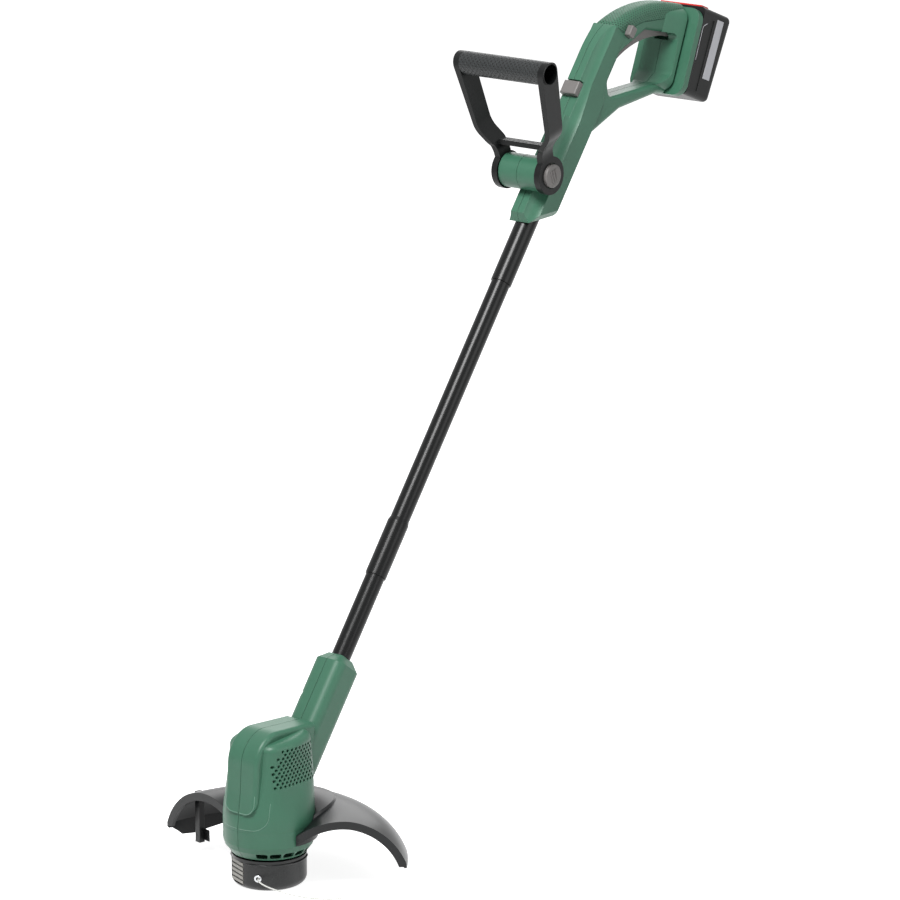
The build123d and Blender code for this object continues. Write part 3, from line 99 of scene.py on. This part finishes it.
def round_bar(name, runs, kind="POLY", roundness=3):
    """A piece of round section along its runs, each a list of places with their radius."""
    curve = bpy.data.curves.new(name, "CURVE")
    curve.dimensions = "3D"
    for run in runs:
        spline = curve.splines.new(kind)
        spline.points.add(len(run) - 1)
        for point, (place, radius) in zip(spline.points, run):
            point.co = (*place, 1.0)
            point.radius = radius
    curve.bevel_depth = 1.0  # the points carry the radius, which also keeps the curve's box true
    curve.bevel_resolution = roundness
    curve.use_fill_caps = True
    piece = bpy.data.objects.new(name, curve)
    scene.collection.objects.link(piece)
    return piece


# Places and sizes of the solids, which the cord, the patterns and the trim follow
EYELET_ANGLE = math.radians(205.0)  # round the spool cap, as the latch's angle
EYELET_Z = mm(16.0)
EYELET_BORE_R = mm(2.0)
LATCH_ANGLE = math.radians(160.0)  # of the front latch; the back one is opposite
LATCH_FACE = mm(38.6)
LATCH_RIB_H = mm(0.9)
CROWN_MIDDLE = (mm(661.0), 0.0, mm(692.3))  # of the arch that the loop handle's top follows
CROWN_RADIUS = mm(203.0)
LOOP_SECTION_R = mm(15.0)
PACK_SEAT = Vector((mm(703.99), 0.0, mm(826.76)))  # middle of the battery's seat
PACK_TILT = math.radians(21.0)
PACK_BACK = Vector((math.cos(PACK_TILT), 0.0, -math.sin(PACK_TILT)))
PACK_UP = Vector((math.sin(PACK_TILT), 0.0, math.cos(PACK_TILT)))
PACK_HALF = mm(38.0)

# The free end of the cutting line, which leaves its eyelet straight and then bends back
LINE_START_R = mm(37.0)
LINE_EXIT_R = mm(46.5)
LINE_ROUTE = [
    (LINE_START_R * math.cos(EYELET_ANGLE), LINE_START_R * math.sin(EYELET_ANGLE), EYELET_Z),
    (LINE_EXIT_R * math.cos(EYELET_ANGLE), LINE_EXIT_R * math.sin(EYELET_ANGLE), EYELET_Z),
    (mm(-47.5), mm(-33.0), mm(14.6)),
    (mm(-46.5), mm(-51.0), mm(12.2)),
    (mm(-40.5), mm(-70.0), mm(9.2)),
    (mm(-29.0), mm(-88.0), mm(6.4)),
    (mm(-14.0), mm(-101.0), mm(4.4)),
    (mm(-2.0), mm(-107.0), mm(3.4)),
]
LINE_DIAMETER = mm(1.6)


def cutting_line():
    run = [(place, LINE_DIAMETER / 2) for place in LINE_ROUTE]
    piece = round_bar("trimmer_line", [run], kind="NURBS", roundness=4)
    spline = piece.data.splines[0]
    spline.order_u = 3  # set after the points, or the line stays straight between them
    spline.use_endpoint_u = True
    spline.resolution_u = 12
    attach(piece, "cutting_head")
    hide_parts("cutting_line")
    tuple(LINE_ROUTE[1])
    return piece


line = cutting_line()


# Patterns that follow a surface: each gives a vector in metres along the surface, and its step
GRIP_DIMPLE_STEP = mm(5.6)
PAD_DIMPLE_STEP = mm(4.2)


def round_grip(tree, place):
    """Arc length round the front grip, and the distance along it."""
    low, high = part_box("front_grip_sleeve")
    middle = [(a + b) / 2 for a, b in zip(low, high)]
    radius = (high[2] - low[2]) / 2
    around = 2 * math.pi * radius
    step = around / round(around / GRIP_DIMPLE_STEP)  # whole steps meet without a break
    away = add_node(tree, "ShaderNodeVectorMath", {0: place, 1: middle}, operation="SUBTRACT")
    axes = add_node(tree, "ShaderNodeSeparateXYZ", {0: away.outputs[0]})
    turn = add_node(
        tree, "ShaderNodeMath", {0: axes.outputs["Z"], 1: axes.outputs["X"]}, operation="ARCTAN2",
    )
    arc = add_node(tree, "ShaderNodeMath", {0: turn.outputs[0], 1: radius}, operation="MULTIPLY")
    along = add_node(tree, "ShaderNodeCombineXYZ", {"X": arc.outputs[0], "Y": axes.outputs["Y"]})
    return along.outputs[0], step


def over_loop(tree, place):
    """Arc length along the loop handle's crown, and arc length across it."""
    away = add_node(tree, "ShaderNodeVectorMath", {0: place, 1: CROWN_MIDDLE}, operation="SUBTRACT")
    axes = add_node(tree, "ShaderNodeSeparateXYZ", {0: away.outputs[0]})
    turn = add_node(
        tree, "ShaderNodeMath", {0: axes.outputs["X"], 1: axes.outputs["Z"]}, operation="ARCTAN2",
    )
    arc = add_node(tree, "ShaderNodeMath", {0: turn.outputs[0], 1: CROWN_RADIUS}, operation="MULTIPLY")
    flat = add_node(
        tree, "ShaderNodeVectorMath", {0: away.outputs[0], 1: (1, 0, 1)}, operation="MULTIPLY",
    )
    reach = add_node(tree, "ShaderNodeVectorMath", {0: flat.outputs[0]}, operation="LENGTH")
    over = add_node(
        tree, "ShaderNodeMath", {0: reach.outputs["Value"], 1: CROWN_RADIUS - LOOP_SECTION_R},
        operation="SUBTRACT",
    )
    roll = add_node(
        tree, "ShaderNodeMath", {0: axes.outputs["Y"], 1: over.outputs[0]}, operation="ARCTAN2",
    )
    across = add_node(
        tree, "ShaderNodeMath", {0: roll.outputs[0], 1: LOOP_SECTION_R}, operation="MULTIPLY",
    )
    along = add_node(tree, "ShaderNodeCombineXYZ", {"X": arc.outputs[0], "Y": across.outputs[0]})
    return along.outputs[0], PAD_DIMPLE_STEP


# Reliefs: each gives a height from 0 in the hollows to 1 on the land
DIMPLE_BOTTOM = 0.12  # both are distances from a dimple's middle, in sides of its cell
DIMPLE_RIM = 0.36
RIB_SIDE = (0.3, 0.8)  # shares of a rib's height between which the face turns into its top
BORE_EDGE = mm(0.15)


def dimples(surface):
    """Staggered round dimples: 0 at the bottom of each, 1 on the land between them."""
    def relief(tree, place):
        along, step = surface(tree, place)
        side = step / math.sqrt(2)  # a square grid on its corner is a staggered one
        turned = add_node(
            tree, "ShaderNodeMapping",
            {"Vector": along, "Rotation": (0, 0, math.pi / 4), "Scale": (1 / side, 1 / side, 1 / side)},
        )
        cells = add_node(
            tree, "ShaderNodeTexVoronoi",
            {"Vector": turned.outputs[0], "Scale": 1.0, "Randomness": 0.0}, voronoi_dimensions="2D",
        )
        land = add_node(
            tree, "ShaderNodeMapRange",
            {"Value": cells.outputs["Distance"], "From Min": DIMPLE_BOTTOM, "From Max": DIMPLE_RIM},
            interpolation_type="SMOOTHSTEP",
        )
        return land.outputs[0]
    return relief


def latch_ribs(side):
    """1 on the tops of a cap latch's ribs, 0 on the face between them."""
    def relief(tree, place):
        outward = (side * math.cos(LATCH_ANGLE), side * math.sin(LATCH_ANGLE), 0.0)
        reach = add_node(tree, "ShaderNodeVectorMath", {0: place, 1: outward}, operation="DOT_PRODUCT")
        low, high = [LATCH_FACE + LATCH_RIB_H * share for share in RIB_SIDE]
        tops = add_node(
            tree, "ShaderNodeMapRange",
            {"Value": reach.outputs["Value"], "From Min": low, "From Max": high},
        )
        return tops.outputs[0]
    return relief


def eyelet_bore(tree, place):
    """0 in the eyelet's bore, 1 on its flange."""
    outward = (math.cos(EYELET_ANGLE), math.sin(EYELET_ANGLE), 0.0)
    level = add_node(
        tree, "ShaderNodeVectorMath", {0: place, 1: (0.0, 0.0, EYELET_Z)}, operation="SUBTRACT",
    )
    beside = add_node(
        tree, "ShaderNodeVectorMath", {0: level.outputs[0], 1: outward}, operation="CROSS_PRODUCT",
    )
    reach = add_node(tree, "ShaderNodeVectorMath", {0: beside.outputs[0]}, operation="LENGTH")
    flange = add_node(
        tree, "ShaderNodeMapRange",
        {"Value": reach.outputs["Value"], "From Min": EYELET_BORE_R - BORE_EDGE,
         "From Max": EYELET_BORE_R + BORE_EDGE},
    )
    return flange.outputs[0]


# Materials
MOTTLE_MM = 35.0  # breadth of the flow marks in a moulding
GRAIN_STRENGTH = 0.5
GRAIN_GLOSS = (-0.06, 0.08)  # how far the grain takes the roughness down and up
STREAK_STRETCH = 12.0  # streaks are this many times longer than they are wide
STREAK_DEPTH_MM = 0.02
STREAK_STRENGTH = 0.4
STREAK_GLOSS = (-0.08, 0.1)
BORE_SHADE = "#0c0c0d"


def moulded(name, colour, shade, roughness, specular=0.5, grain_mm=0.9, grain_depth_mm=0.05, edge_mm=0.5,
            relief=None, relief_mm=0.0, painted_hollow_shade=None):
    """Injection-moulded plastic: an even colour with a faint flow mottle and a spark-eroded grain.

    Moulded edges are never sharp, so they catch a thin light. The real grain is near 0.1 mm and
    is drawn coarser to show at all. A relief adds a pattern, and its hollows are painted darker, a
    painted shade.
    """
    material, tree = new_material(name)
    place = add_node(tree, "ShaderNodeTexCoord").outputs["Object"]
    mottle = add_node(
        tree, "ShaderNodeTexNoise", {"Vector": place, "Scale": 1 / mm(MOTTLE_MM), "Detail": 3.0},
    )
    grain = add_node(
        tree, "ShaderNodeTexNoise", {"Vector": place, "Scale": 1 / mm(grain_mm), "Detail": 2.0},
    )
    tint = add_node(
        tree, "ShaderNodeMix", {"Factor": mottle.outputs["Fac"], 6: linear(shade), 7: linear(colour)},
        data_type="RGBA",
    )
    gloss = add_node(
        tree, "ShaderNodeMapRange",
        {"Value": grain.outputs["Fac"], "To Min": roughness + GRAIN_GLOSS[0],
         "To Max": roughness + GRAIN_GLOSS[1]},
    )
    edge = add_node(tree, "ShaderNodeBevel", {"Radius": mm(edge_mm)}, samples=4)
    bump = add_node(
        tree, "ShaderNodeBump",
        {"Height": grain.outputs["Fac"], "Distance": mm(grain_depth_mm), "Strength": GRAIN_STRENGTH,
         "Normal": edge.outputs[0]},
    )
    if relief:
        height = relief(tree, place)
        # The relief's hollows get a darker colour: painted shade
        tint = add_node(
            tree, "ShaderNodeMix", {"Factor": height, 6: linear(painted_hollow_shade or shade), 7: tint.outputs[2]},
            data_type="RGBA",
        )
        bump = add_node(
            tree, "ShaderNodeBump",
            {"Height": height, "Distance": mm(relief_mm), "Normal": bump.outputs[0]},
        )
    shader = add_node(
        tree, "ShaderNodeBsdfPrincipled",
        {"Base Color": tint.outputs[2], "Roughness": gloss.outputs[0], "Normal": bump.outputs[0],
         "IOR": 1.5, "Specular IOR Level": specular},
    )
    add_node(tree, "ShaderNodeOutputMaterial", {"Surface": shader.outputs[0]})
    return material


def worked_metal(name, colour, bright, roughness, streak_mm, relief=None):
    """Drawn, rolled or turned metal: fine streaks along the way it was worked.

    The real streaks are near 0.05 mm wide and are drawn coarser to show at all. A relief's
    hollows are painted dark, a painted shade.
    """
    material, tree = new_material(name)
    place = add_node(tree, "ShaderNodeTexCoord").outputs["Object"]
    stretch = add_node(tree, "ShaderNodeMapping", {"Vector": place, "Scale": (1.0, 1.0, STREAK_STRETCH)})
    streak = add_node(
        tree, "ShaderNodeTexNoise",
        {"Vector": stretch.outputs[0], "Scale": 1 / mm(streak_mm), "Detail": 3.0},
    )
    gloss = add_node(
        tree, "ShaderNodeMapRange",
        {"Value": streak.outputs["Fac"], "To Min": roughness + STREAK_GLOSS[0],
         "To Max": roughness + STREAK_GLOSS[1]},
    )
    bump = add_node(
        tree, "ShaderNodeBump",
        {"Height": streak.outputs["Fac"], "Distance": mm(STREAK_DEPTH_MM), "Strength": STREAK_STRENGTH},
    )
    tint = add_node(
        tree, "ShaderNodeMix",
        {"Factor": streak.outputs["Fac"], 6: linear(colour), 7: linear(bright)}, data_type="RGBA",
    )
    if relief:
        # The relief's hollows are painted near black: painted shade
        tint = add_node(
            tree, "ShaderNodeMix",
            {"Factor": relief(tree, place), 6: linear(BORE_SHADE), 7: tint.outputs[2]}, data_type="RGBA",
        )
    shader = add_node(
        tree, "ShaderNodeBsdfPrincipled",
        {"Base Color": tint.outputs[2], "Metallic": 1.0, "Roughness": gloss.outputs[0],
         "Normal": bump.outputs[0]},
    )
    add_node(tree, "ShaderNodeOutputMaterial", {"Surface": shader.outputs[0]})
    return material


# Satin green housings, whose broad curves carry a soft sheen
green_abs = moulded("moulded ABS, satin green", "#3a6a54", "#33604b", 0.4, specular=0.4, edge_mm=0.8)
# Fine raised edges of the head, in a lighter green: a painted highlight along the real creases
green_highlight = moulded("moulded ABS, green edge", "#6d9583", "#648b79", 0.36)
# Soft overmould on the loop: the same green, duller, with small dimples for the palm, their hollows
# painted darker as painted shade
green_tpe = moulded(
    "overmoulded soft TPE, dimpled green", "#3c6a54", "#35614c", 0.5, specular=0.4,
    relief=dimples(over_loop), relief_mm=0.9, painted_hollow_shade="#1b352a",
)
# Black housings and handle arms, nearly matt, with light only along their edges
black_abs = moulded("moulded ABS, satin black", "#0c0e0e", "#090a0b", 0.38, specular=0.22)
# Spool cap, a touch glossier than the other black parts
cap_abs = moulded("moulded ABS, semi-gloss black", "#0f1112", "#0b0c0d", 0.28, specular=0.4)
# Soft black grip with rows of dimples, their hollows painted near black as painted shade
black_tpe = moulded(
    "overmoulded soft TPE, dimpled black", "#232627", "#1d2021", 0.44, specular=0.4,
    relief=dimples(round_grip), relief_mm=1.2, painted_hollow_shade="#050505",
)
# Guard: a waxy plastic that mirrors the light where it is seen at a low angle
guard_pp = moulded(
    "moulded polypropylene, satin black", "#141617", "#0f1112", 0.3, specular=0.3,
    grain_mm=0.8, grain_depth_mm=0.02,
)
# Buttons and trigger: warm mid grey, fine grain
grey_abs = moulded("moulded ABS, warm grey", "#6d6a68", "#646160", 0.42)
# Cap latches: pale tops of the ribs over faces painted dark between them, a painted shade, which read as
# stripes
latch_front_abs, latch_back_abs = [
    moulded(
        f"moulded ABS, ribbed warm grey, {end}", "#9b9892", "#918e88", 0.42,
        relief=latch_ribs(side), painted_hollow_shade="#3e3d39",
    )
    for end, side in (("front", 1), ("back", -1))
]
# Inlays of the battery: an even, cool pale grey. On the panel edges the same pale grey is a painted
# highlight along real edges
pale_abs_and_highlight = moulded("moulded ABS, pale grey", "#b4b5ba", "#acadb2", 0.4)
# Battery release: a glossy red that is found at a glance
red_abs = moulded("moulded ABS, glossy red", "#d0241c", "#c01f18", 0.25)
# Tubes: stoved black paint with a long soft streak of light
tube_paint = moulded(
    "powder-coated steel, satin black", "#08090a", "#060707", 0.26, specular=0.22,
    grain_mm=0.7, grain_depth_mm=0.03,
)
# Cutting line: milky white, smooth from the die
nylon_line = moulded(
    "extruded nylon, white", "#dcdcd8", "#d2d2cd", 0.35, grain_mm=0.8, grain_depth_mm=0.02,
)
# Screws, cutter, motor can and cells: blackened, with a dull sheen
dark_steel = worked_metal("black-oxide steel", "#2a2b2c", "#3a3b3c", 0.42, 1.2)
# Motor shaft, spring and pin: bright, with highlights that the streaks break up
bright_steel = worked_metal("drawn steel", "#b5b5b2", "#f0f0f0", 0.3, 1.2)
# Eyelet: a bright turned ring round a bore painted dark, a painted shade
eyelet_alloy = worked_metal("turned aluminium", "#a4a6a9", "#d4d5d7", 0.25, 0.8, relief=eyelet_bore)
# Terminal blades: warm yellow, shiny along the roll
terminal_brass = worked_metal("rolled brass", "#c9a55a", "#e6cf95", 0.3, 1.0)

FINISHES = {
    green_abs: ["head_shell_left", "head_shell_right", "handle_shell_left", "handle_shell_right"],
    green_tpe: ["grip_pad"],
    black_abs: [
        "spool", "drive_hub", "fan", "motor_end_cap", "switch", "terminal_block", "front_handle_yoke",
        "battery_lid", "battery_case",
    ],
    cap_abs: ["spool_cap"],
    black_tpe: ["front_grip_sleeve"],
    guard_pp: ["guard"],
    grey_abs: ["trigger", "lock_off_button", "spine_slider", "lock_button_left", "lock_button_right"],
    latch_front_abs: ["cap_latch_front"],
    latch_back_abs: ["cap_latch_back"],
    pale_abs_and_highlight: ["battery_inlays"],
    red_abs: ["battery_release_button"],
    tube_paint: ["lower_tube", "middle_tube", "upper_tube"],
    nylon_line: ["line_winding"],
    dark_steel: [
        "head_screws", "handle_screws", "guard_screws", "cutter_screw", "line_cutter", "motor_can",
        "battery_cells",
    ],
    bright_steel: ["motor_shaft", "spool_spring", "trigger_pin"],
    eyelet_alloy: ["line_eyelet"],
    terminal_brass: ["terminal_blades"],
}

for material, names in FINISHES.items():
    for name in names:
        wear(nodes[name], material)
wear(line, nylon_line)

# Thin trim
CAP_LIP_R = mm(41.6)
CAP_LIP_Z = mm(30.6)
CAP_LIP_T = mm(2.4)
CAP_LIP_STEPS = 48
CAP_LIP_GAP = math.radians(24.0)  # from a latch's middle to the lip's end
CAP_LIP_TAPER = 0.25  # the share of its thickness that the lip starts with and gains at each step


def cap_lip():
    """The spool cap's rounded upper lip, in two arcs between the latches."""
    runs = []
    for latch in (LATCH_ANGLE, LATCH_ANGLE + math.pi):
        run = []
        for step in range(CAP_LIP_STEPS + 1):
            turn = latch + CAP_LIP_GAP + (math.pi - 2 * CAP_LIP_GAP) * step / CAP_LIP_STEPS
            from_end = min(step, CAP_LIP_STEPS - step)
            fullness = min(1.0, CAP_LIP_TAPER + CAP_LIP_TAPER * from_end)
            place = (CAP_LIP_R * math.cos(turn), CAP_LIP_R * math.sin(turn), CAP_LIP_Z)
            run.append((place, CAP_LIP_T / 2 * fullness))
        runs.append(run)
    piece = round_bar("cap_lip", runs, roundness=4)
    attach(piece, "cutting_head")
    wear(piece, cap_abs)


# In mm back and up from the battery's seat
PANEL_EDGE = [(3.0, 0.0), (3.0, 20.0), (3.0, 39.0), (4.2, 41.0), (9.5, 44.9)]
PANEL_EDGE_T = mm(0.8)


def panel_edges():
    """A pale bead on the front edge of the panel on each side of the battery: the edge is real, its pale
    colour a painted highlight.
    """
    runs = []
    for side in (-1, 1):
        places = [PACK_SEAT + PACK_BACK * mm(back) + PACK_UP * mm(up) for back, up in PANEL_EDGE]
        runs.append([((place.x, side * PACK_HALF, place.z), PANEL_EDGE_T / 2) for place in places])
    piece = round_bar("battery_panel_edges", runs)
    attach(piece, "battery")
    wear(piece, pale_abs_and_highlight)


HEAD_SHELLS = ["head_shell_left", "head_shell_right"]
FRONT_OF_HEAD = mm(-120.0)  # well ahead of it
EDGE_STEPS = 10


def skin_of(names):
    corners = []
    faces = []
    for name in names:
        mesh = nodes[name].data
        first = len(corners)
        corners += [vertex.co.copy() for vertex in mesh.vertices]
        faces += [[first + corner for corner in face.vertices] for face in mesh.polygons]
    return BVHTree.FromPolygons(corners, faces)


def half_u(half, foot, top, rounding):
    """Places across and up: down one side, round the corner and along the foot to the seam."""
    shares = [step / EDGE_STEPS for step in range(EDGE_STEPS + 1)]
    side = [(half, top + (foot + rounding - top) * share) for share in shares[:-1]]
    corner = []
    for share in shares:
        turn = math.pi / 2 * share
        corner.append((half - rounding * (1 - math.cos(turn)), foot + rounding * (1 - math.sin(turn))))
    foot_run = [((half - rounding) * (1 - share), foot) for share in shares[1:-1]]
    return side + corner + foot_run


def edge_bead(name, places, skin, thickness):
    """A thin bead laid on the front of the head, the same on both sides of the seam, in a lighter green
    as a painted highlight.
    """
    runs = []
    for side, ordered in ((1, places), (-1, places[::-1])):
        starts = [Vector((FRONT_OF_HEAD, side * across, up)) for across, up in ordered]
        hits = [skin.ray_cast(start, Vector((1, 0, 0)))[0] for start in starts]
        runs.append([(hit, thickness / 2) for hit in hits if hit])
    piece = round_bar(name, runs)
    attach(piece, "frame")
    wear(piece, green_highlight)


cap_lip()
panel_edges()
# The fine edges where the head's middle band and its cheeks end: the creases are real, and the beads'
# lighter green is a painted highlight
head_skin = skin_of(HEAD_SHELLS)
edge_bead("band_foot_edge", half_u(mm(20.5), mm(90.5), mm(112.0), mm(11.0)), head_skin, mm(0.7))
edge_bead("cheek_foot_edge", half_u(mm(33.5), mm(72.8), mm(104.0), mm(16.0)), head_skin, mm(0.6))

# Floor, light and backdrop
WHITE = linear("#ffffff")
FLOOR_REACH = 12.0
FLOOR_GLOW = 0.9
AMBIENT = 0.2
LIT_MIDDLE = Vector((0.35, 0.0, 0.45))  # all lamps point at the middle of the machine
LAMPS = {  # place, edge length in metres and power in watts of each square soft box
    "key": (Vector((-1.3, -0.5, 3.0)), 1.1, 122.0),
    "fill": (Vector((0.8, -3.0, 1.6)), 1.6, 18.0),
    "rim": (Vector((3.2, 2.0, 1.9)), 2.0, 24.0),
}


def backdrop_rays(tree):
    """1 for rays that show the backdrop: straight from the camera, in a reflection or through glass."""
    path = add_node(tree, "ShaderNodeLightPath")
    first = add_node(
        tree, "ShaderNodeMath", {0: path.outputs["Is Camera Ray"], 1: path.outputs["Is Glossy Ray"]},
        operation="ADD",
    )
    shown = add_node(
        tree, "ShaderNodeMath", {0: first.outputs[0], 1: path.outputs["Is Transmission Ray"]},
        operation="ADD", use_clamp=True,
    )
    return shown.outputs[0]


def studio_floor():
    """A matt floor that looks white and keeps a faint shadow."""
    mesh = bpy.data.meshes.new("studio_floor")
    corners = [(x * FLOOR_REACH, y * FLOOR_REACH, 0) for x, y in ((-1, -1), (1, -1), (1, 1), (-1, 1))]
    mesh.from_pydata(corners, [], [(0, 1, 2, 3)])
    floor = bpy.data.objects.new("studio_floor", mesh)
    scene.collection.objects.link(floor)
    material, tree = new_material("matt white floor")
    matt = add_node(tree, "ShaderNodeBsdfDiffuse", {"Color": linear("#e6e6e6")})
    glow = add_node(tree, "ShaderNodeEmission", {"Color": WHITE, "Strength": FLOOR_GLOW})
    both = add_node(tree, "ShaderNodeAddShader", {0: matt.outputs[0], 1: glow.outputs[0]})
    mix = add_node(
        tree, "ShaderNodeMixShader", {0: backdrop_rays(tree), 1: matt.outputs[0], 2: both.outputs[0]},
    )
    add_node(tree, "ShaderNodeOutputMaterial", {"Surface": mix.outputs[0]})
    mesh.materials.append(material)


def studio_world():
    """White where it is seen, and a low even light everywhere else."""
    world = bpy.data.worlds.new("studio")
    scene.world = world
    world.use_nodes = True
    tree = world.node_tree
    tree.nodes.clear()
    light = add_node(tree, "ShaderNodeBackground", {"Color": WHITE, "Strength": AMBIENT})
    white = add_node(tree, "ShaderNodeBackground", {"Color": WHITE, "Strength": 1.0})
    mix = add_node(
        tree, "ShaderNodeMixShader", {0: backdrop_rays(tree), 1: light.outputs[0], 2: white.outputs[0]},
    )
    add_node(tree, "ShaderNodeOutputWorld", {"Surface": mix.outputs[0]})


def soft_box(name, place, size, power):
    data = bpy.data.lights.new(name, "AREA")
    data.shape = "SQUARE"
    data.size = size
    data.energy = power
    lamp = bpy.data.objects.new(name, data)
    lamp.location = place
    lamp.rotation_euler = (LIT_MIDDLE - place).to_track_quat("-Z", "Y").to_euler()
    scene.collection.objects.link(lamp)


studio_floor()
studio_world()
for name, (place, size, power) in LAMPS.items():
    soft_box(name, place, size, power)
scene.view_settings.view_transform = "Standard"
